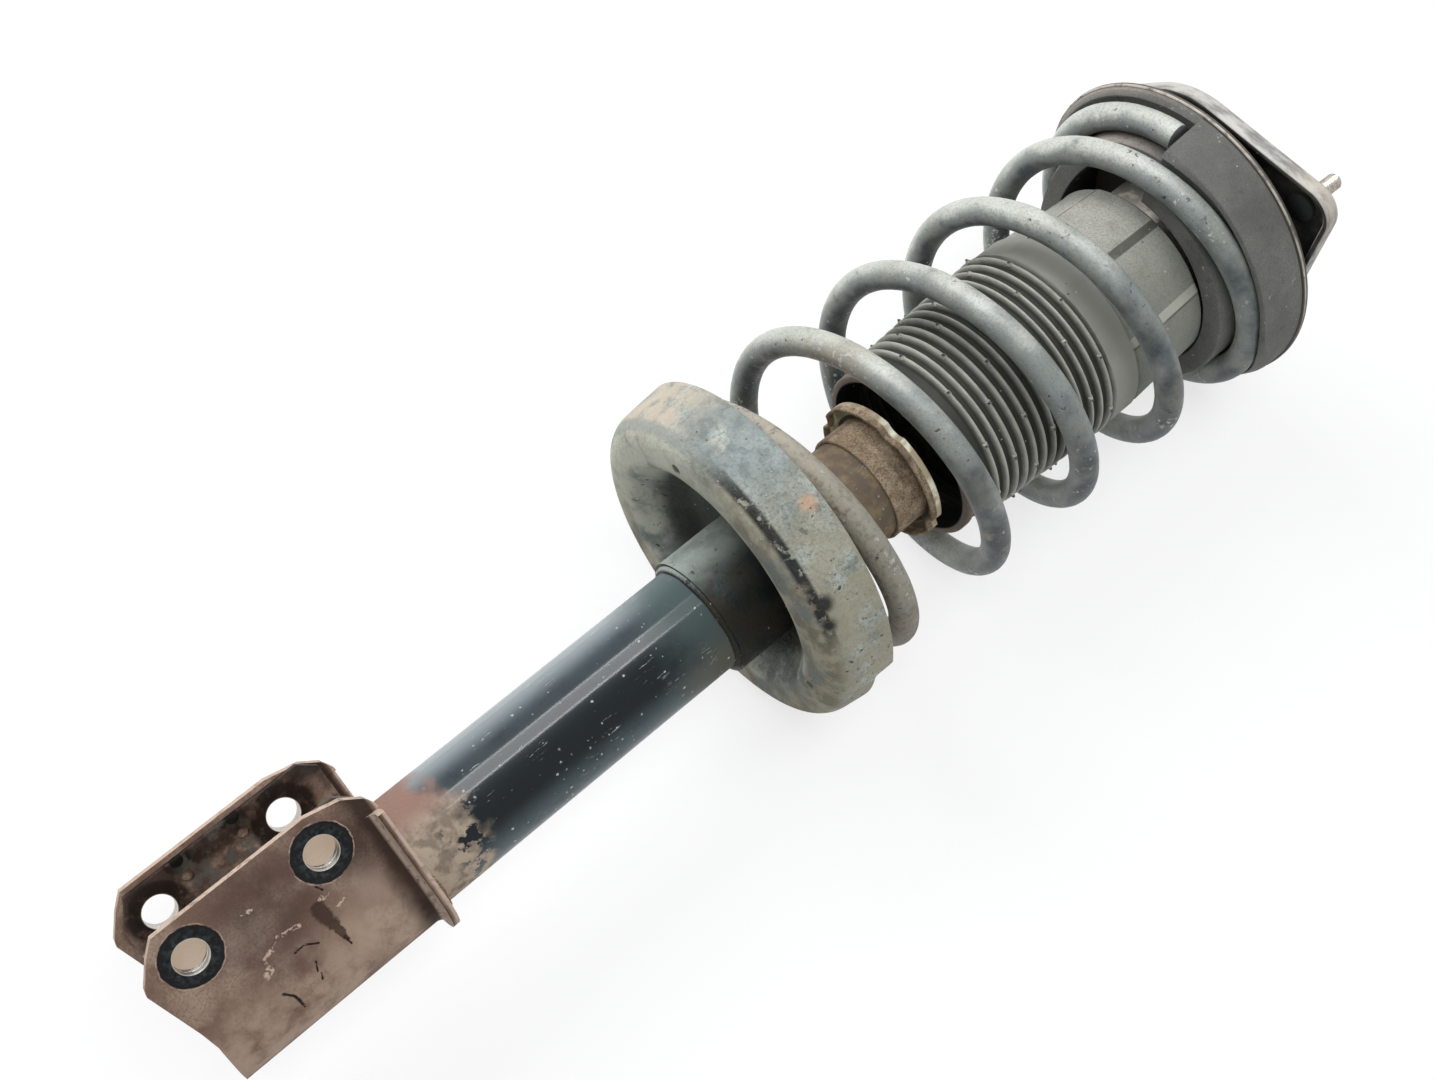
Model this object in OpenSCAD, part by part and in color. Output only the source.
// Rear suspension strut: twin-tube damper, coil spring on two seats, top mount and knuckle clevis.
// +Z runs parallel to the damper's axis, +X is the way the clevis opens, Y is the clevis bolts' axis.
// The origin is the centre of the top mount's stud circle, on the face that meets the body shell.
// The damper stands beside that centre, and the spring, its seats and the top plate lean against it.
// Everything is drawn with the damper fully extended, against its rebound stop.

/* [Damper tube] */
// Outer diameter of the outer tube
tube_d = 51; // [46:0.5:56]
// Wall of the outer tube
tube_wall = 2.2; // [1.6:0.1:3]
// Length of the outer tube, from its closed end to its top edge
tube_len = 364; // [340:1:400]
// Depth of the outer tube's top edge below the mount face, damper extended
tube_drop = 212; // [200:1:225]
// Thickness of the disc that closes the tube's lower end
end_cap_t = 6; // [4:0.5:10]

/* [Rod and piston] */
// Diameter of the piston rod
rod_d = 20; // [18:0.5:22]
// Diameter of the rod's threaded top
thread_d = 12; // [10:1:14]
// Length of thread that stands out above the rod nut
thread_spare = 3; // [1:0.5:6]
// Width across the flats of the rod nut
nut_flats = 19; // [17:1:24]
// Height of the rod nut
nut_h = 10; // [8:0.5:12]
// Diameter of the washer under the rod nut
washer_d = 30; // [24:1:40]
// Thickness of the washer under the rod nut
washer_t = 2.5; // [1.5:0.5:4]
// Inner diameter of the pressure tube
bore_d = 32; // [30:0.5:34]
// Wall of the pressure tube
bore_wall = 1.6; // [1.2:0.1:2]
// Height of the piston
piston_h = 16; // [12:1:24]
// Diameter of the piston's stud on the rod's lower end
piston_stud_d = 10; // [8:0.5:12]
// Height of the nut that holds the piston
piston_nut_h = 8; // [6:0.5:12]
// Height of the guide band round the piston
band_h = 9; // [6:0.5:11]
// Depth of the guide band's groove in the piston
band_t = 1.5; // [1:0.25:2]
// Thickness of one stack of valve discs
discs_t = 1.8; // [1:0.2:3]
// Distance from the rebound stop down to the piston's valve discs
stop_gap = 12; // [6:1:30]
// Height of the rebound stop ring
stop_h = 12; // [8:1:20]
// Radial thickness of the rebound stop ring
stop_w = 4; // [3:0.25:5]

/* [Rod guide and seal] */
// Height of the rod guide where it fills the outer tube
guide_h = 18; // [14:1:24]
// Height of the guide's spigot inside the pressure tube
spigot_h = 6; // [4:0.5:10]
// Radial thickness of the guide's lined bush
bush_w = 1.5; // [1:0.25:2]
// Height of the rod seal above the guide
seal_h = 6; // [4:0.5:8]
// Height of the base valve's flange
valve_flange_h = 5; // [4:0.5:8]
// Height of the base valve's body inside the pressure tube
valve_h = 12; // [8:0.5:16]

/* [Bump cap] */
// Sheet thickness of the cap on the tube's top end
cap_t = 1.8; // [1.2:0.1:2.4]
// Depth of the cap's skirt down the tube
cap_skirt = 16; // [12:1:22]
// Thickness of the cap's top plate above the tube
cap_top = 3; // [2:0.5:5]
// Outer diameter of the cap's flange
cap_flange_d = 70.5; // [66:0.5:73]
// Height of the flange's turned-down edge
cap_flange_h = 6; // [4:0.5:8]
// Number of notches round the flange
cap_notches = 4; // [2:1:8]
// Depth of one flange notch
cap_notch = 2.4; // [1:0.2:3]
// Radius of one flange notch
cap_notch_r = 7; // [5:0.5:9]
// Direction of the first flange notch
cap_notch_turn = 48; // [0:1:89]
// Gap round the rod where it passes the cap
cap_gap = 2; // [1:0.5:4]

/* [Coil spring] */
// Wire diameter
wire_d = 13.2; // [11:0.1:14]
// Mean diameter of the coil
coil_d = 135.6; // [132:0.2:138]
// Number of turns, end to end
spring_turns = 6.15; // [5.85:0.05:6.6]
// Turns that lie flat in the lower seat
dead_low = 0.35; // [0.25:0.05:0.5]
// Turns that lie flat against the upper seat
dead_high = 0.16; // [0.1:0.01:0.5]
// Turns over which a flat end eases into the slope
ease_turns = 0.7; // [0.3:0.05:0.8]
// Height between the centres of the wire at its two flat ends
spring_h = 274.2; // [262:0.1:282]
// Lean of the spring's axis against the damper's, its lower end towards the clevis opening
spring_lean = 2; // [0:0.1:3]
// Direction of the wire's upper end, from +X towards +Y
spring_end_turn = 36; // [20:1:60]
// Rings of points in one loop of the wire
loop_rings = 24; // [16:1:24]
// Sides of the wire's section
wire_sides = 6; // [6:1:8]

/* [Lower spring seat] */
// Sheet thickness of the lower seat
seat_t = 2.6; // [2:0.2:4]
// Gap between the wire and the inside of the channel's outer wall
seat_side_gap = 2.2; // [1:0.1:3]
// Depth of the channel, from its floor to the rim
seat_depth = 27; // [24:0.1:34]
// Outward lean of the channel's outer wall over its height
seat_lean = 2.2; // [1:0.1:6]
// Width of the channel's flat floor
floor_w = 7; // [5:0.5:12]
// Radius of the bend between floor and outer wall
seat_bend = 12; // [7:0.5:12]
// Height of the centre web above the channel's floor
hub_rise = 20.5; // [16:0.5:22]
// Radius at which the inner wall meets the centre web
hub_r = 43; // [40:0.5:46]
// Height that the sleeve stands above the seat's centre web
sleeve_rise = 1.5; // [0.5:0.5:4]
// Wall of the sleeve that carries the seat on the tube
sleeve_wall = 3.6; // [2.4:0.1:5]
// Length of the sleeve below the seat's centre web
sleeve_len = 36; // [28:1:50]
// Size of the weld beads round the sleeve
sleeve_bead = 3.4; // [2:0.2:5]
// Direction of the middle of the seat's lower stretch of rim
rim_step_turn = 174; // [150:1:200]
// Depth of the lower stretch of rim below the rest
rim_step_h = 8; // [4:0.5:12]
// Width of the lower stretch of rim
rim_step_w = 110; // [20:1:130]
// Diameter of a drain hole in the channel's floor
drain_d = 5; // [3:0.5:6]
// Number of drain holes
drains = 3; // [2:1:6]
// Direction of the first drain hole
drain_turn = 20; // [0:1:60]

/* [Top mount] */
// Distance from the damper's axis to the stud circle's centre, towards the clevis opening
mount_shift = 8.5; // [0:0.5:10]
// Half the width of the mount shell across the line of its studs
shell_half = 65; // [60:0.5:70]
// Radius of the shell's four broad corners
shell_bend = 47; // [40:1:52]
// Distance from the shell's middle to the centres of its broad corners, along the line of the studs
shell_bend_at = 17.5; // [10:0.5:24]
// Sheet thickness of the mount shell
shell_t = 3; // [2.5:0.1:4]
// Radius of the bend along the shell's top edge
shell_round = 4; // [2:0.5:5]
// Depth of the shell's turned-down rim, from the mount face
shell_rim = 9.5; // [7:0.5:11]
// Diameter of the circle through the studs
stud_circle_d = 156; // [150:0.5:162]
// Radius of the shell's end round a stud
end_r = 14; // [12:0.5:16]
// Distance from a stud out to the centre of the shell's end
end_beyond = 5; // [0:0.5:6]
// Diameter of a stud
stud_d = 8; // [6:1:10]
// Radial height of the knurl that holds a stud in the plate
knurl_h = 0.4; // [0.2:0.1:0.6]
// Height of a stud above the mount face
stud_h = 20; // [16:1:30]
// Diameter of a stud's pressed-in head
stud_head_d = 14; // [12:0.5:16]
// Thickness of a stud's pressed-in head
stud_head_t = 2.5; // [1.5:0.5:4]
// Diameter of the opening round the rod nut
shell_hole_d = 48; // [42:1:56]
// Height of the rubber core between the shell and the upper seat
core_h = 9.4; // [7:0.1:12]
// Outer diameter of the rubber core
core_d = 92; // [80:1:100]
// Depth of the waist round the rubber core
core_waist = 3; // [1:0.5:5]
// Outer diameter of the steel hub in the rubber core
hub_d = 34; // [30:1:38]
// Height of the hub above the shell's underside
hub_above = 2; // [1:0.5:3]
// Height of the hub below the upper seat's top face
hub_below = 5; // [4:0.1:7]

/* [Upper spring seat] */
// Diameter of the steel upper seat
pan_d = 159; // [155:0.5:162]
// Sheet thickness of the steel upper seat
pan_t = 2.5; // [2:0.1:4]
// Diameter of the opening round the hub
pan_hole_d = 50; // [44:1:56]
// Outer diameter of the rubber insulator
pad_d = 157; // [153:0.5:159]
// Rubber between the wire and the steel seat
pad_t = 1.8; // [1:0.1:6]
// Inner diameter of the insulator
pad_in_d = 98; // [96:0.5:102]
// Gap between the insulator's centring lip and the wire round it
lip_gap = 1.2; // [0.5:0.1:4]
// Depth of the centring lip below the steel seat, level past the stop
lip_h = 35; // [30:0.5:40]
// Depth of the centring lip where it is least, before the stop
lip_least = 18; // [14:0.5:24]
// Turn, in degrees past the stop, along which the lip stays level
lip_level_turn = 220; // [180:5:240]
// Turn, in degrees, along which the lip then rises
lip_close_turn = 90; // [60:5:100]
// Depth of the insulator's outer skirt below the steel seat, level past the stop
skirt_h = 26.3; // [22:0.1:28]
// Turn, in degrees past the stop, along which the skirt stays level
skirt_level_turn = 75; // [60:5:90]
// Turn, in degrees, along which the skirt then closes up to the wire
skirt_close_turn = 50; // [40:5:90]
// Least depth that the skirt reaches down beside the wire
skirt_least = 2.2; // [1:0.1:3]
// Share of the shallow skirt's edge that slopes in towards the wire
skirt_slope = 0.65; // [0.3:0.05:0.75]
// Gap between the wire and the insulator's outer skirt
skirt_gap = 0.5; // [0.3:0.1:1]
// Gap between the wire's cut end and the insulator's stop
end_gap = 5; // [2:0.5:6]
// Gap left between the wire and the insulator
wire_gap = 0.3; // [0.2:0.05:0.6]

/* [Bump stop and its cup] */
// Outer diameter of the cup that holds the bump stop
cup_d = 68; // [64:0.5:72]
// Sheet thickness of the cup
cup_t = 1.5; // [1:0.1:2]
// Depth of the cup
cup_h = 35; // [28:0.5:40]
// Largest diameter of the bump stop
bump_d = 60; // [52:1:62]
// Diameter of the bump stop's free end
bump_tip_d = 40; // [34:1:46]
// Length of the bump stop
bump_len = 66; // [50:1:70]
// Number of waists round the bump stop
bump_waists = 2; // [1:1:3]
// Depth of one waist
bump_waist = 4; // [2:0.5:6]
// Gap between the rod and the bump stop's bore
bump_gap = 0.4; // [0.2:0.1:1]

/* [Dust boot] */
// Depth of the boot's top below the mount face
boot_drop = 48.5; // [46:0.5:50]
// Length of the boot
boot_len = 153; // [145:0.5:158]
// Wall of the boot
boot_wall = 2.4; // [1.8:0.1:3]
// Radius of the boot's upper shroud at its top
shroud_r = 46.6; // [45.5:0.1:47.5]
// Radius of the boot's upper shroud at its bottom
shroud_low_r = 49.5; // [48:0.1:51]
// Length of the upper shroud
shroud_h = 48; // [44:0.5:52]
// Length of the smooth band between shroud and ribs
band_len = 15; // [12:0.5:18]
// Number of ribs
ribs = 13; // [9:1:15]
// Distance from one rib to the next
rib_pitch = 5.8; // [5:0.1:6.2]
// Depth of the valley between two ribs
rib_depth = 3.6; // [2.5:0.1:4.5]
// Outer radius of the ribs next to the band
rib_high_r = 50.5; // [49:0.1:51.5]
// Outer radius of the ribs next to the open end
rib_low_r = 46.3; // [45:0.1:48]
// Outer radius of the open end
boot_end_r = 43.8; // [42:0.1:45]
// Height of the ring round the open end
boot_ring_h = 5; // [3:0.5:8]

/* [Knuckle clevis] */
// Distance from the damper's axis to the bolt holes
hole_x = 38; // [36:0.5:40]
// Distance between the two bolt holes
hole_pitch = 60; // [54:0.5:64]
// Diameter of the bolt holes
hole_d = 14.2; // [12:0.1:16]
// Distance from the damper's axis to the ears' front edge
ear_reach = 54; // [50:0.5:58]
// Sheet thickness of the outer bracket
bracket_t = 3.2; // [2.5:0.1:4]
// Height of the outer bracket above the upper hole
ear_above = 27.5; // [24:0.5:32]
// Depth of the ears' lowest corner below the lower hole
ear_below = 20.8; // [18:0.2:24]
// Depth of the bracket's back edge below the lower hole
back_below = 13; // [10:0.5:16]
// Height of the lower hole above the tube's closed end
hole_rise = 6; // [4:0.5:12]
// Inside radius of the flared edges' bends
flare_r = 4; // [2:0.5:6]
// Width of the flared upper edge beyond its bend
flare_lip = 2; // [1:0.5:4]
// Distance that the flared upper edge runs along the ears
flare_run = 38; // [30:1:40]
// Sheet thickness of the inner bracket
inner_t = 2.8; // [2:0.1:4]
// Distance from the ears' front edge back to the inner bracket's front edge
inner_back = 2.2; // [1:0.2:5]
// Height of the inner bracket above the upper hole
inner_above = 22.5; // [18:0.5:24]
// Depth of the inner bracket below the lower hole
inner_below = 15.4; // [10:0.2:17]
// Diameter of the inner bracket's two small holes
small_hole_d = 5; // [3:0.5:7]
// Distance from the damper's axis to the small holes
small_hole_x = 42.4; // [38:0.2:44]
// Distance between the two small holes
small_hole_pitch = 26.8; // [20:0.2:32]
// Size of the weld beads on the clevis
bracket_bead = 4; // [3:0.5:6]

/* [Fits] */
// Radial running gap of rod and piston in their guides
run_gap = 0.05; // [0.02:0.01:0.08]
// Gap between parts that move past each other
move_gap = 0.3; // [0.3:0.05:0.6]
// Radial gap of the hub and the cup on the rod's thread
thread_gap = 0.1; // [0.05:0.05:0.3]

/* [Hidden] */

steps = 96; // segments of a full round surface
small_steps = 48; // segments of a small round surface
bend_steps = 6; // steps in one bend of a sheet profile
round_steps = 4; // steps in the bend along the shell's top edge
eps = 0.01; // overlap that keeps a cut clean

rod_r = rod_d / 2;
tube_r = tube_d / 2;
tube_in_r = tube_r - tube_wall;
bore_r = bore_d / 2;
wire_r = wire_d / 2;
coil_r = coil_d / 2;
thread_r = thread_d / 2;

// Heights down the top mount
core_top = -shell_t;
pan_top = core_top - core_h;
pan_low = pan_top - pan_t;
hub_top = core_top + hub_above;
hub_low = pan_top - hub_below;
rod_shoulder = hub_low - cup_t;
nut_low = hub_top + washer_t;
rod_tip = nut_low + nut_h + thread_spare;

// The spring's ends and its rise
wire_top = pan_low - pad_t - wire_r;
wire_low = wire_top - spring_h;
last_turn = spring_end_turn / 360;
first_turn = last_turn - spring_turns;
rise_from = first_turn + dead_low;
rise_to = last_turn - dead_high;
spring_pitch = spring_h / (rise_to - rise_from - ease_turns);

// The lower seat
floor_top = wire_low - wire_r - move_gap;
floor_low = floor_top - seat_t;
wall_in_r = coil_r + wire_r + seat_side_gap;
floor_out_r = wall_in_r + seat_t - seat_bend;
floor_in_r = floor_out_r - floor_w;
rim_top = floor_top + seat_depth;
rim_r = wall_in_r + seat_t + seat_lean;
hub_under = floor_low + hub_rise;
sleeve_top = hub_under + seat_t + sleeve_rise;
sleeve_r = tube_r + sleeve_wall;
sleeve_low = hub_under - sleeve_len;

// The housing's inner pieces
tube_top = -tube_drop;
tube_low = tube_top - tube_len;
cap_upper = tube_top + cap_top;
flange_low = cap_upper - cap_flange_h;
seal_low = tube_top - seal_h;
guide_low = seal_low - guide_h;
spigot_low = guide_low - spigot_h;
valve_low = tube_low + end_cap_t;
bore_low = valve_low + valve_flange_h;

// The piston hangs from the rebound stop, which rests on the guide's spigot
stop_top = spigot_low;
stop_low = stop_top - stop_h;
discs_top = stop_low - stop_gap;
piston_top = discs_top - discs_t;
piston_low = piston_top - piston_h;
piston_nut_top = piston_low - discs_t;
rod_low = piston_nut_top - piston_nut_h;

// The clevis
low_hole_z = tube_low + hole_rise;
high_hole_z = low_hole_z + hole_pitch;
ear_top = high_hole_z + ear_above;
back_low = low_hole_z - back_below;
ear_out_r = tube_r + bracket_t;
flare_start = ear_top - bracket_t - flare_r;
inner_y = tube_r - inner_t;
inner_reach = ear_reach - inner_back;
inner_top = high_hole_z + inner_above;
inner_low = low_hole_z - inner_below;
ear_width = 2 * (ear_out_r + flare_r + flare_lip);

// The boot
boot_top = -boot_drop;
boot_low = boot_top - boot_len;
shroud_low = boot_top - shroud_h;
ribs_top = shroud_low - band_len;
ribs_low = ribs_top - ribs * rib_pitch;

// A point on an arc
function arc_point(c, r, a) = [c[0] + r * cos(a), c[1] + r * sin(a)];
// Points along an arc, both ends included
function arc_points(c, r, a0, a1, n) = [for (i = [0:n]) arc_point(c, r, a0 + (a1 - a0) * i / n)];
// Unit vector from p to q
function toward(p, q) = (q - p) / norm(q - p);
// A flat vector turned a quarter turn to the left
function left_of(v) = [-v[1], v[0]];
// Offset direction at point i of an open path, long enough to keep the sheet's thickness
function miter(path, i) = let (
    before = left_of(toward(path[max(i - 1, 0)], path[max(i, 1)])),
    after = left_of(toward(path[min(i, len(path) - 2)], path[min(i + 1, len(path) - 1)])),
    both = before + after
) both * 2 / (both * both);
// Closed outline of a sheet of thickness t on the left of a path
function sheet_outline(path, t) = concat(
    path, [for (i = [len(path) - 1:-1:0]) path[i] + t * miter(path, i)]);

// Places a piece that leans with the spring, about the stud circle's centre
module leaning() {
    rotate([0, -spring_lean, 0]) children();
}

// Places a piece on the spring's axis
module on_spring() {
    leaning() translate([-mount_shift, 0, 0]) children();
}

// Places a piece on the damper's axis
module on_damper() {
    translate([-mount_shift, 0, 0]) children();
}

// Round solid from r0 to r1 between two heights
module ring(r0, r1, z0, z1, n = steps) {
    translate([0, 0, z0]) difference() {
        cylinder(r = r1, h = z1 - z0, $fn = n);
        translate([0, 0, -eps]) cylinder(r = r0, h = z1 - z0 + 2 * eps, $fn = n);
    }
}

// Round disc between two heights
module disc(r, z0, z1, n = steps) {
    translate([0, 0, z0]) cylinder(r = r, h = z1 - z0, $fn = n);
}

// Bead of weld metal round a circle
module bead_ring(r, z, size, angle = 360, from = 0) {
    translate([0, 0, z]) rotate([0, 0, from]) rotate_extrude(angle = angle, $fn = steps)
        translate([r, 0]) circle(d = size, $fn = 16);
}

// Half of the mount shell's outline, from +X to -X: two broad corners and the end between them, inset
function shell_half_outline(inset) = let (
    broad = [shell_half - shell_bend, shell_bend_at],
    tip = [0, stud_circle_d / 2 + end_beyond],
    way = tip - broad,
    turn = atan2(way[1], way[0]) - acos((shell_bend - end_r) / norm(way))
) concat(
    arc_points(broad, shell_bend - inset, 0, turn, 8),
    arc_points(tip, end_r - inset, turn, 180 - turn, 16),
    arc_points([-broad[0], broad[1]], shell_bend - inset, 180 - turn, 180, 8));
// The whole outline, the second half being the first one turned
function shell_outline(inset) = let (half = shell_half_outline(inset)) concat(half, -half);

// Places a piece at each stud
module at_studs() {
    for (side = [-1, 1]) translate([0, side * stud_circle_d / 2, 0]) children();
}

// The mount shell's outside: its outline from the rim's edge up, drawn in round the top edge
module shell_outside() {
    levels = concat([[0, -shell_rim]], [for (i = [0:round_steps])
        shell_round * [1 - cos(90 * i / round_steps), sin(90 * i / round_steps) - 1]]);
    outlines = [for (l = levels) [for (p = shell_outline(l[0])) [p[0], p[1], l[1]]]];
    n = len(outlines[0]);
    last = len(levels) - 1;
    polyhedron(
        points = [for (o = outlines) each o],
        faces = concat(
            [[for (i = [0:n - 1]) i], [for (i = [n - 1:-1:0]) last * n + i]],
            [for (k = [0:last - 1], i = [0:n - 1]) let (j = (i + 1) % n)
                [k * n + i, (k + 1) * n + i, (k + 1) * n + j, k * n + j]]));
}

// Stamped top plate with a rim turned down round its edge
module mount_shell() {
    color("#3a3633") difference() {
        shell_outside();
        translate([0, 0, -shell_rim - eps]) linear_extrude(shell_rim - shell_t + eps)
            polygon(shell_outline(shell_t));
        translate([-mount_shift, 0, 0]) disc(shell_hole_d / 2, -shell_t - eps, eps);
        at_studs() disc(stud_d / 2 + knurl_h, -shell_t - eps, eps, small_steps);
    }
}

// Studs pressed through the shell's ends, heads below
module mount_studs() {
    color("#9a8f80") at_studs() {
        disc(stud_d / 2, -shell_t, stud_h, small_steps);
        disc(stud_d / 2 + knurl_h, -shell_t, 0, small_steps);
        disc(stud_head_d / 2, -shell_t - stud_head_t, -shell_t, small_steps);
    }
}

// Rubber core bonded between the shell, the upper seat and the hub
module mount_rubber() {
    mid = (core_top + pan_top) / 2;
    color("#262423") difference() {
        on_spring() rotate_extrude($fn = steps) polygon([
            [0, pan_top], [core_d / 2, pan_top], [core_d / 2 - core_waist, mid],
            [core_d / 2, core_top], [0, core_top]]);
        on_damper() disc(hub_d / 2, pan_top - core_h, core_top + core_h);
    }
}

// Steel hub that the rod's thread passes through
module mount_hub() {
    color("#77746e") ring(thread_r + thread_gap, hub_d / 2, hub_low, hub_top);
}

// Washer under the rod nut
module rod_washer() {
    color("#85807a") ring(thread_r + thread_gap, washer_d / 2, hub_top, nut_low, small_steps);
}

// Hexagonal nut on the rod's thread
module rod_nut() {
    color("#8f8a82") difference() {
        translate([0, 0, nut_low]) cylinder(d = nut_flats / cos(30), h = nut_h, $fn = 6);
        disc(thread_r, nut_low - eps, nut_low + nut_h + eps, small_steps);
    }
}

// Flat steel seat above the spring
module upper_seat() {
    color("#4a4540") ring(pan_hole_d / 2, pan_d / 2, pan_low, pan_top);
}

// Height of the wire's centre after u turns, counted from +X on the coil's own axis
function eased(x) = x <= 0 ? 0 : x < ease_turns ? x * x / (2 * ease_turns) : x - ease_turns / 2;
function wire_z(u) = wire_low + spring_pitch * (eased(u - rise_from) - eased(u - rise_to + ease_turns));
// Centre of the wire after u turns
function wire_point(u) = [coil_r * cos(360 * u), coil_r * sin(360 * u), wire_z(u)];

// Share that rises softly from 0 to 1
function smooth(x) = let (s = min(1, max(0, x))) s * s * (3 - 2 * s);

// One ring of the insulator's section, whose underside follows the last turn of the wire
pad_steps = 60; // sections round the insulator
stop_width = 1.5; // turn, in degrees, that the insulator's step takes
pad_from = spring_end_turn + asin((end_gap + stop_width) / coil_r);
function pad_angle(i) = pad_from + (360 - stop_width) * i / pad_steps;
function pad_under(i) = wire_z(min(pad_angle(i) / 360 + floor(last_turn - pad_angle(0) / 360),
    last_turn)) + wire_r + wire_gap;
function pad_section(i) = let (
    a = pad_angle(i),
    under = pad_under(i),
    inner = pad_in_d / 2,
    lip = coil_r - wire_r - lip_gap,
    lip_low = pan_low - lip_h
        + (lip_h - lip_least) * smooth((a - pad_from - lip_level_turn) / lip_close_turn),
    skirt = coil_r + wire_r + skirt_gap,
    close = smooth((a - pad_from - skirt_level_turn) / skirt_close_turn),
    level = pan_low - skirt_h + (under - skirt_least - pan_low + skirt_h) * close,
    low = min(under - skirt_least, level),
    edge = level + (pan_low - level) * skirt_slope * close
) [for (p = [
    [inner, pan_low], [pad_d / 2, pan_low], [pad_d / 2, edge], [skirt, low],
    [skirt, under], [lip, under], [lip, lip_low], [inner, lip_low]
]) [p[0] * cos(a), p[0] * sin(a), p[1]]];
// Triangles of a tube of m-sided rings; closed joins the last ring to the first
function ring_faces(n, m, closed) = [for (i = [0:n - (closed ? 1 : 2)], k = [0:m - 1]) let (
    a = i * m,
    b = (i + 1) % n * m,
    next = (k + 1) % m
) each [[a + k, b + k, b + next], [a + k, b + next, a + next]]];
// Fans that close the two ends of an open tube
function end_faces(n, m) = [for (k = [1:m - 2]) each [
    [0, k, k + 1], [(n - 1) * m, (n - 1) * m + k + 1, (n - 1) * m + k]]];

// Rubber seat above the spring, with a step that the wire's end faces
module upper_insulator() {
    color("#4b4743") polyhedron(
        points = [for (i = [0:pad_steps]) each pad_section(i)],
        faces = ring_faces(pad_steps + 1, 8, true));
}

// Cup that holds the bump stop and carries the boot
module bump_cup() {
    color("#6d6a64") {
        ring(thread_r + thread_gap, cup_d / 2, rod_shoulder, hub_low);
        ring(cup_d / 2 - cup_t, cup_d / 2, hub_low - cup_h, rod_shoulder);
    }
}

// Half-width of the bump stop at a share s of its length from the top
function bump_r(s) = (bump_d - (bump_d - bump_tip_d) * s) / 2
    - bump_waist * (1 - cos(360 * bump_waists * s)) / 2;

// Foam bump stop round the rod
module bump_stop() {
    rows = 24;
    inside = rod_r + bump_gap;
    color("#b7a36b") rotate_extrude($fn = steps) polygon(concat(
        [[inside, rod_shoulder]],
        [for (i = [0:rows]) [bump_r(i / rows), rod_shoulder - bump_len * i / rows]],
        [[inside, rod_shoulder - bump_len]]));
}

// Outer radius of the ribs at a share s of their stack from the top
function rib_r(s) = rib_high_r + (rib_low_r - rib_high_r) * s;
// Outline of one rib, a crest between two flanks, radii lowered by wall
function rib_outline(i, wall) = let (
    z = ribs_top - i * rib_pitch,
    crest = rib_r((i + 0.5) / ribs) - wall,
    valley = rib_r(i / ribs) - rib_depth - wall
) [[valley, z], [valley, z - 0.2 * rib_pitch], [crest, z - 0.4 * rib_pitch],
    [crest, z - 0.8 * rib_pitch]];
// Outside of the boot from its top edge to its open end
boot_outside = concat(
    [[shroud_r, boot_top], [shroud_low_r, shroud_low], [rib_high_r, shroud_low], [rib_high_r, ribs_top]],
    [for (i = [0:ribs - 1]) each rib_outline(i, 0)],
    [[rib_low_r - rib_depth, ribs_low], [rib_low_r - rib_depth, boot_low + boot_ring_h],
    [boot_end_r, boot_low + boot_ring_h], [boot_end_r, boot_low]]);
// Inside of the boot from its open end up to its top flange
boot_inside = concat(
    [[rib_low_r - rib_depth - boot_wall, boot_low],
    [rib_low_r - rib_depth - boot_wall, ribs_low]],
    [for (i = [ribs - 1:-1:0]) let (rib = rib_outline(i, boot_wall)) each [rib[3], rib[2], rib[1], rib[0]]],
    [[rib_high_r - boot_wall, ribs_top], [rib_high_r - boot_wall, shroud_low],
    [shroud_low_r - boot_wall, shroud_low], [shroud_r - boot_wall, boot_top - boot_wall],
    [cup_d / 2, boot_top - boot_wall], [cup_d / 2, boot_top]]);

// Ribbed rubber boot with its bore, hung from the bump stop's cup
module dust_boot() {
    color("#45423e") rotate_extrude($fn = small_steps) polygon(concat(boot_outside, boot_inside));
}

// Coil spring: one unbroken tube along the wire's centre
wire_rings = ceil(spring_turns * loop_rings);
wire_path = [for (i = [0:wire_rings]) wire_point(first_turn + spring_turns * i / wire_rings)];
function wire_ring(i) = let (
    c = wire_path[i],
    along = toward(wire_path[max(i - 1, 0)], wire_path[min(i + 1, wire_rings)]),
    out = toward([0, 0, c[2]], c),
    up = cross(out, along) / norm(cross(out, along)),
    side = cross(along, up)
) [for (k = [0:wire_sides - 1]) let (a = 90 + 360 * k / wire_sides)
    c + wire_r * (cos(a) * side + sin(a) * up)];
half_loop = floor(loop_rings / 2);
self_gap = min([for (i = [0:wire_rings - half_loop], j = [i + half_loop:wire_rings])
    norm(wire_path[i] - wire_path[j])]) - wire_d;
echo("least gap between the spring's turns, mm", self_gap);

module coil_spring() {
    color("#6d757b") polyhedron(
        points = [for (i = [0:wire_rings]) each wire_ring(i)],
        faces = concat(ring_faces(wire_rings + 1, wire_sides, false),
            end_faces(wire_rings + 1, wire_sides)));
}

// Polished rod with a thread above its shoulder and the piston's stud below
module piston_rod() {
    color("#c9ccce") {
        disc(rod_r, discs_top, rod_shoulder, small_steps);
        disc(thread_r, rod_shoulder, rod_tip, small_steps);
        disc(piston_stud_d / 2, rod_low, discs_top, small_steps);
    }
}

// Ring on the rod that meets the guide when the damper is fully out
module rebound_stop() {
    color("#5a5c5e") ring(rod_r, rod_r + stop_w, stop_low, stop_top, small_steps);
}

// Thin spring discs above and below the piston
module piston_discs() {
    disc_r = bore_r - band_t - run_gap - 2;
    color("#7f8488") {
        ring(piston_stud_d / 2, disc_r, piston_top, discs_top, small_steps);
        ring(piston_stud_d / 2, disc_r, piston_nut_top, piston_low, small_steps);
    }
}

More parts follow.
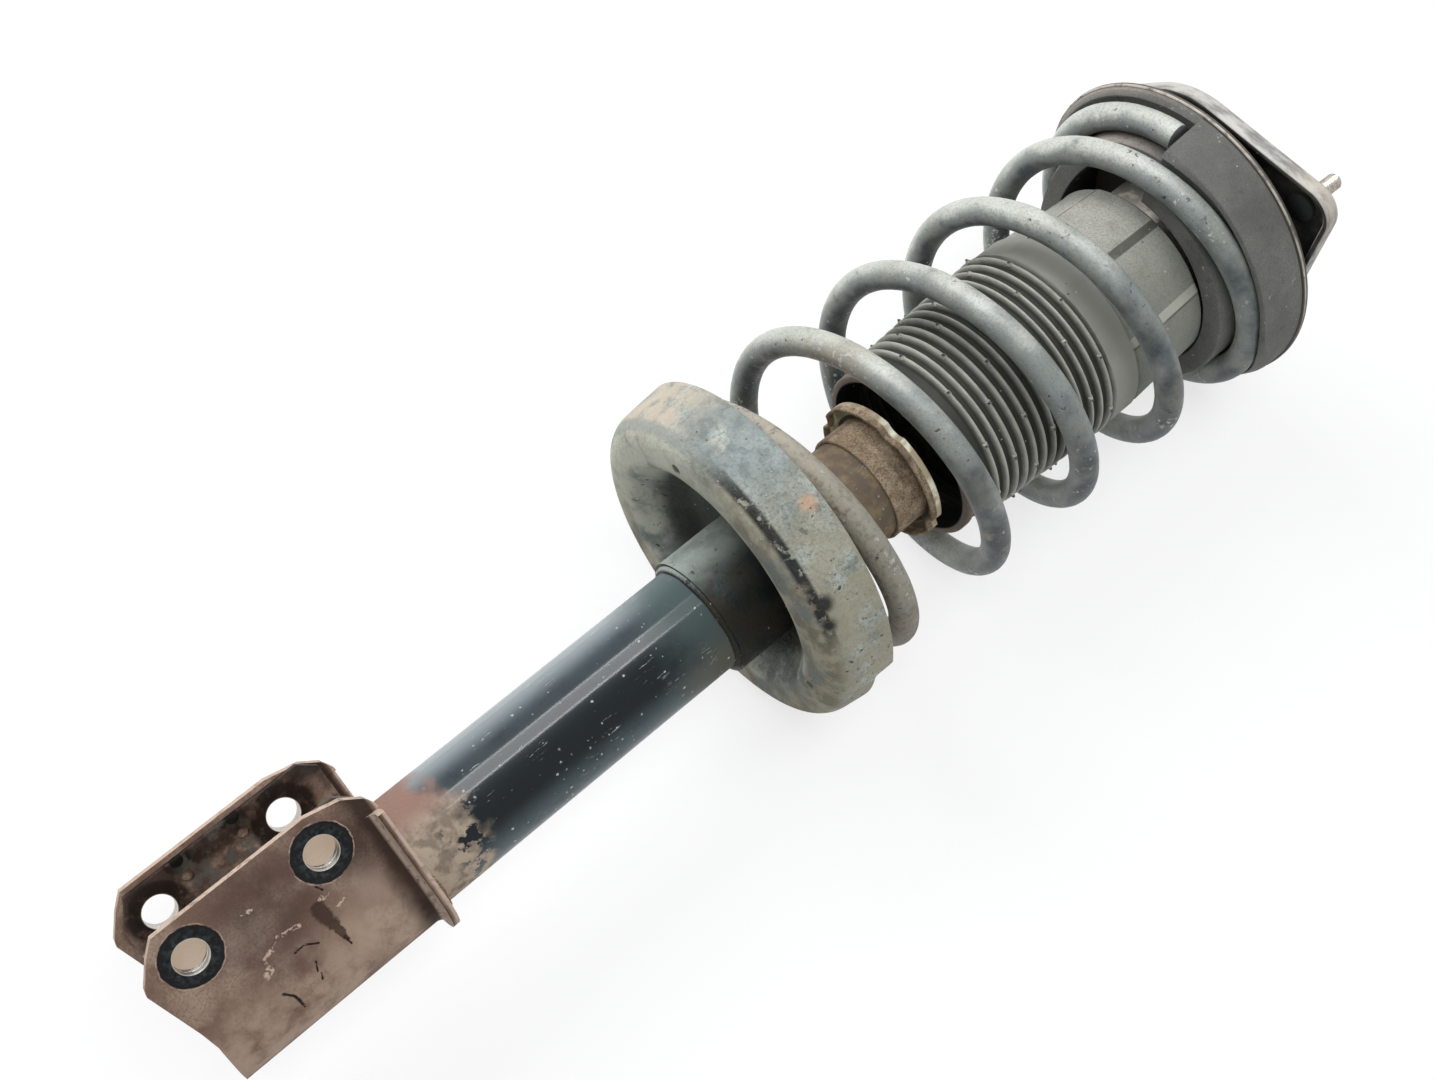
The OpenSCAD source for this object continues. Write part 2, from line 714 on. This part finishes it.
// Sintered piston with a groove for its band and six oil passages
module piston() {
    side_r = bore_r - run_gap;
    groove_low = (piston_top + piston_low - band_h) / 2;
    passage_r = (piston_stud_d / 2 + side_r - band_t) / 2;
    color("#55585a") difference() {
        ring(piston_stud_d / 2, side_r, piston_low, piston_top, small_steps);
        ring(side_r - band_t, side_r + 1, groove_low, groove_low + band_h, small_steps);
        for (i = [0:5]) rotate([0, 0, i * 60]) translate([passage_r, 0, 0])
            disc(1.2, piston_low - eps, piston_top + eps, 16);
    }
}

// Guide band in the piston's groove
module piston_band() {
    groove_low = (piston_top + piston_low - band_h) / 2;
    color("#2f3234") ring(bore_r - run_gap - band_t, bore_r - run_gap, groove_low,
        groove_low + band_h, small_steps);
}

// Nut that holds the piston on the rod
module piston_nut() {
    color("#6f7376") difference() {
        translate([0, 0, rod_low])
            cylinder(d = piston_stud_d * 1.7 / cos(30), h = piston_nut_h, $fn = 6);
        disc(piston_stud_d / 2, rod_low - eps, piston_nut_top + eps, small_steps);
    }
}

// Outer tube of the damper
module outer_tube() {
    color("#16181a") ring(tube_in_r, tube_r, tube_low, tube_top);
}

// Disc that closes the tube's lower end
module end_cap() {
    color("#4f3b30") disc(tube_in_r, tube_low, valve_low);
}

// Inner tube that the piston runs in
module pressure_tube() {
    color("#8b8f92") ring(bore_r, bore_r + bore_wall, bore_low, guide_low);
}

// Base valve between the pressure tube and the end cap
module base_valve() {
    color("#5f6366") difference() {
        union() {
            disc(bore_r, bore_low, bore_low + valve_h);
            disc(bore_r + bore_wall, valve_low, bore_low);
        }
        for (i = [0:3]) rotate([0, 0, i * 90]) translate([bore_r / 2, 0, 0])
            disc(1.5, valve_low - eps, bore_low + valve_h + eps, 16);
    }
}

// Guide that centres the rod and closes the pressure tube
module rod_guide() {
    color("#6a6d70") difference() {
        union() {
            disc(tube_in_r, guide_low, seal_low);
            disc(bore_r, spigot_low, guide_low);
        }
        disc(rod_r + run_gap + bush_w, spigot_low - eps, seal_low + eps, small_steps);
    }
}

// Lined bush in the guide's bore
module guide_bush() {
    color("#9b8457") ring(rod_r + run_gap, rod_r + run_gap + bush_w, spigot_low, seal_low, small_steps);
}

// Rod seal above the guide
module rod_seal() {
    color("#1d1d1e") ring(rod_r + run_gap, tube_in_r, seal_low, tube_top, small_steps);
}

// Outline of the cap's flange with its notches, inset by a sheet's thickness
module flange_outline(inset) {
    difference() {
        circle(r = cap_flange_d / 2 - inset, $fn = steps);
        for (i = [0:cap_notches - 1]) rotate(cap_notch_turn + i * 360 / cap_notches)
            translate([cap_flange_d / 2 + cap_notch_r - cap_notch, 0])
                circle(r = cap_notch_r + inset, $fn = small_steps);
    }
}

// Pressed cap on the tube's top end, with a notched flange
module bump_cap() {
    skirt_low = tube_top - cap_skirt;
    color("#6b5442") difference() {
        union() {
            disc(tube_r + cap_t, skirt_low, cap_upper);
            translate([0, 0, flange_low]) linear_extrude(cap_flange_h) flange_outline(0);
        }
        disc(tube_r, skirt_low - eps, tube_top);
        disc(rod_r + cap_gap, tube_top - eps, cap_upper + eps, small_steps);
        difference() {
            translate([0, 0, flange_low - eps]) linear_extrude(cap_flange_h - cap_t + eps)
                flange_outline(cap_t);
            disc(tube_r + cap_t, flange_low - 1, cap_upper);
        }
    }
}

// Sleeve that carries the lower seat on the tube
module seat_sleeve() {
    color("#3d332c") ring(tube_r, sleeve_r, sleeve_low, sleeve_top);
}

// Underside of the lower seat from its centre to its rim
wall_foot = floor_low + seat_bend;
seat_path = concat(
    [[0, hub_under]],
    arc_points([hub_r - seat_bend / 2, hub_under - seat_bend / 2], seat_bend / 2, 90, 30, bend_steps),
    arc_points([floor_in_r, floor_low + seat_bend / 2], seat_bend / 2, 210, 270, bend_steps),
    arc_points([floor_out_r, wall_foot], seat_bend, 270, 352, bend_steps),
    [[rim_r, rim_top]]);

// Stamped lower seat: a channel for the spring's end round a raised centre
module lower_seat() {
    color("#5b5f5a") difference() {
        on_spring() difference() {
            rotate_extrude($fn = steps) polygon(sheet_outline(seat_path, seat_t));
            rotate([0, 0, rim_step_turn])
                translate([floor_out_r, -rim_step_w / 2, rim_top - rim_step_h])
                    cube([rim_r, rim_step_w, rim_step_h + seat_t]);
            for (i = [0:drains - 1]) rotate([0, 0, drain_turn + i * 360 / drains])
                translate([floor_in_r + floor_w / 2, 0, 0])
                    disc(drain_d / 2, floor_low - 1, floor_top + 1, small_steps);
        }
        on_damper() disc(sleeve_r, floor_low - rim_r, rim_top + rim_r);
    }
}

// Weld beads at the sleeve's two ends
module seat_welds() {
    color("#54463b") {
        difference() {
            bead_ring(tube_r, sleeve_low, sleeve_bead);
            disc(tube_r, sleeve_low - sleeve_bead, sleeve_low + sleeve_bead);
            ring(0, sleeve_r, sleeve_low, sleeve_low + sleeve_bead);
        }
        difference() {
            bead_ring(sleeve_r, sleeve_top - sleeve_rise, sleeve_bead);
            disc(sleeve_r, hub_under - sleeve_bead, sleeve_top + sleeve_bead);
            translate([mount_shift, 0, 0]) on_spring()
                disc(hub_r, hub_under - sleeve_bead, hub_under + seat_t);
        }
    }
}

// Side view of the outer bracket, drawn as x and height
ear_outline = [
    [ear_reach, low_hole_z - 7], [ear_reach, high_hole_z + 2],
    [ear_reach - 3.5, high_hole_z + 17], [ear_reach - 9, ear_top - 3],
    [ear_reach - 15, ear_top], [-ear_width, ear_top],
    [-ear_width, back_low], [1, back_low],
    [10, back_low - 1.5], [hole_x - 2, low_hole_z - ear_below],
    [hole_x + 1, low_hole_z - ear_below + 1], [ear_reach - 6, low_hole_z - 13]];
// Flared edge's section: outward distance from the tube and height
flare_outline = concat(
    [[0, flare_start]],
    arc_points([bracket_t + flare_r, flare_start], bracket_t + flare_r, 180, 90, bend_steps),
    [[bracket_t + flare_r + flare_lip, ear_top], [bracket_t + flare_r + flare_lip, flare_start + flare_r]],
    arc_points([bracket_t + flare_r, flare_start], flare_r, 90, 180, bend_steps));

// Bar along X with the given side view and width
module side_cut(outline, width) {
    rotate([90, 0, 0]) linear_extrude(width, center = true) polygon(outline);
}

// Holes for the knuckle bolts through everything on their axis
module bolt_holes() {
    for (z = [low_hole_z, high_hole_z]) translate([hole_x, 0, z]) rotate([90, 0, 0])
        cylinder(d = hole_d, h = 2 * ear_width, center = true, $fn = small_steps);
}

// Outer bracket: a sheet wrapped round the tube, its two ears the clevis
module outer_bracket() {
    height = flare_start - low_hole_z + ear_below;
    color("#6e5547") difference() {
        intersection() {
            union() {
                difference() {
                    translate([0, 0, flare_start - height]) union() {
                        cylinder(r = ear_out_r, h = height, $fn = steps);
                        translate([0, -ear_out_r, 0]) cube([ear_reach, 2 * ear_out_r, height]);
                    }
                    disc(tube_r, flare_start - height - 1, flare_start + 1);
                    translate([0, -tube_r, flare_start - height - 1])
                        cube([ear_reach + 1, 2 * tube_r, height + 2]);
                }
                rotate([0, 0, 90]) rotate_extrude(angle = 180, $fn = steps)
                    translate([tube_r, 0]) polygon(flare_outline);
                for (side = [0, 1]) mirror([0, side, 0]) translate([0, tube_r, 0])
                    rotate([90, 0, 90]) linear_extrude(flare_run) polygon(flare_outline);
                for (side = [0, 1]) mirror([0, side, 0])
                    translate([flare_run, tube_r, flare_start])
                        cube([ear_reach - flare_run, bracket_t, ear_top - flare_start]);
            }
            side_cut(ear_outline, 2 * ear_width);
        }
        bolt_holes();
    }
}

// Side view of the inner bracket's legs
inner_outline = [
    [inner_reach, low_hole_z - 7.5], [inner_reach, high_hole_z + inner_above - 7],
    [inner_reach - 6, inner_top], [tube_r, inner_top], [tube_r, inner_low],
    [inner_reach - 12.5, inner_low], [inner_reach - 3, low_hole_z - 9]];

// Inner bracket: a channel nested between the ears, its web against the tube
module inner_bracket() {
    small_low = (low_hole_z + high_hole_z - small_hole_pitch) / 2;
    color("#3b322c") difference() {
        intersection() {
            difference() {
                translate([tube_r, -tube_r, inner_low])
                    cube([inner_reach - tube_r, 2 * tube_r, inner_top - inner_low]);
                translate([tube_r + inner_t, -inner_y, inner_low - 1])
                    cube([inner_reach, 2 * inner_y, inner_top - inner_low + 2]);
            }
            side_cut(inner_outline, 2 * ear_width);
        }
        bolt_holes();
        for (z = [small_low, small_low + small_hole_pitch]) translate([small_hole_x, 0, z])
            rotate([90, 0, 0]) cylinder(d = small_hole_d, h = 2 * ear_width, center = true, $fn = 24);
    }
}

// Weld beads: tube to outer bracket above the flare, and web to tube at both its ends
module bracket_welds() {
    color("#7a6353") {
        difference() {
            bead_ring(tube_r + bracket_bead / 4, ear_top - bracket_bead / 4, bracket_bead, 180, 90);
            disc(tube_r, ear_top - 2 * bracket_bead, ear_top + bracket_bead);
            rotate([0, 0, 90]) rotate_extrude(angle = 180, $fn = steps)
                translate([tube_r, 0]) polygon(flare_outline);
        }
        difference() {
            translate([tube_r + inner_t / 2, 0, inner_top]) rotate([90, 0, 0])
                cylinder(d = bracket_bead, h = inner_y, center = true, $fn = 24);
            disc(tube_r, inner_top - bracket_bead, inner_top + bracket_bead);
            translate([tube_r - bracket_bead, -inner_y, inner_top - bracket_bead])
                cube([3 * bracket_bead, 2 * inner_y, bracket_bead]);
        }
    }
}

leaning() mount_shell();
leaning() mount_studs();
mount_rubber();
on_damper() mount_hub();
on_damper() rod_washer();
on_damper() rod_nut();
on_spring() upper_seat();
on_spring() upper_insulator();
on_damper() bump_cup();
on_damper() bump_stop();
on_damper() dust_boot();
on_spring() coil_spring();
on_damper() piston_rod();
on_damper() rebound_stop();
on_damper() piston_discs();
on_damper() piston();
on_damper() piston_band();
on_damper() piston_nut();
on_damper() outer_tube();
on_damper() end_cap();
on_damper() pressure_tube();
on_damper() base_valve();
on_damper() rod_guide();
on_damper() guide_bush();
on_damper() rod_seal();
on_damper() bump_cap();
on_damper() seat_sleeve();
lower_seat();
on_damper() seat_welds();
on_damper() outer_bracket();
on_damper() inner_bracket();
on_damper() bracket_welds();
